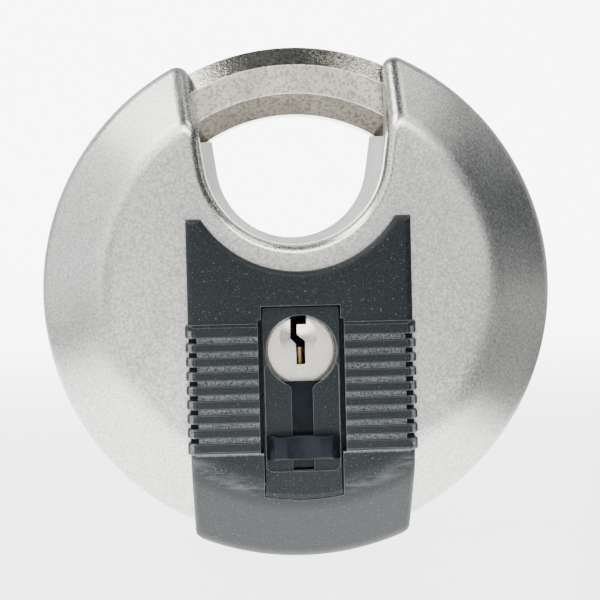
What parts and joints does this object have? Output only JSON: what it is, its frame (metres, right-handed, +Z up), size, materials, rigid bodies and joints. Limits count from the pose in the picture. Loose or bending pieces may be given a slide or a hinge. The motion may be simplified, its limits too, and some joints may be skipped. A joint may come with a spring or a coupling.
{
  "type": "disc padlock",
  "caption": "Round shrouded padlock with a swinging curved shackle, a bumper jacket and a sliding shutter over the key cylinder.",
  "frame": {"origin": "on the disc's axis, on the flat rear face of the rear jacket half", "axes": "+Z up towards the hasp opening, +X to the right seen from the front, front face towards -Y"},
  "size_m": [0.07, 0.0314, 0.0706],
  "materials": {
    "shell_steel": "fine grained satin",
    "zinc_casting": "as die cast",
    "shackle_steel": "plated over a forged bar",
    "jacket_plastic": "fine spark-eroded texture",
    "shutter_plastic": "smooth",
    "plug_nickel": "nickel plated",
    "brass": "turned",
    "dark_steel": "hardened",
    "zinc_plated_steel": "zinc plated"
  },
  "bodies": {
    "lock_body": {"front_shell": "shell_steel", "rear_shell": "shell_steel", "front_casting": "zinc_casting", "rear_casting": "zinc_casting", "casting_screws": "zinc_plated_steel", "front_cover": "jacket_plastic", "rear_cover": "jacket_plastic", "shutter_track": "jacket_plastic", "shutter_backplate": "zinc_plated_steel", "anti_drill_plate": "dark_steel", "cylinder_housing": "brass", "driver_pins": "brass", "pin_springs": "zinc_plated_steel", "pin_chamber_strip": "brass", "housing_pin": "zinc_plated_steel"},
    "shackle": {"shackle": "shackle_steel", "shackle_drive_pin": "dark_steel"},
    "plug": {"cylinder_plug": "plug_nickel", "key_pins": "brass", "plug_washer": "zinc_plated_steel", "drive_arm": "dark_steel", "drive_arm_screw": "zinc_plated_steel"},
    "shutter": {"shutter": "shutter_plastic"}
  },
  "joints": [
    {"name": "shackle_swing", "type": "hinge", "parent": "lock_body", "child": "shackle", "pos_m": [0, -0.0155, 0.00215], "axis": [0, 1, 0], "range_deg": [0, 74]},
    {"name": "plug_turn", "type": "hinge", "parent": "lock_body", "child": "plug", "pos_m": [0, -0.0155, -0.0078], "axis": [0, 1, 0], "range_deg": [0, 109.6]},
    {"name": "shutter_slide", "type": "slide", "parent": "lock_body", "child": "shutter", "axis": [0, 0, 1], "range_m": [0, 0.009]}
  ],
  "couplings": [
    {"joint": "plug_turn", "follows": "shackle_swing", "ratio": 1.48}
  ]
}
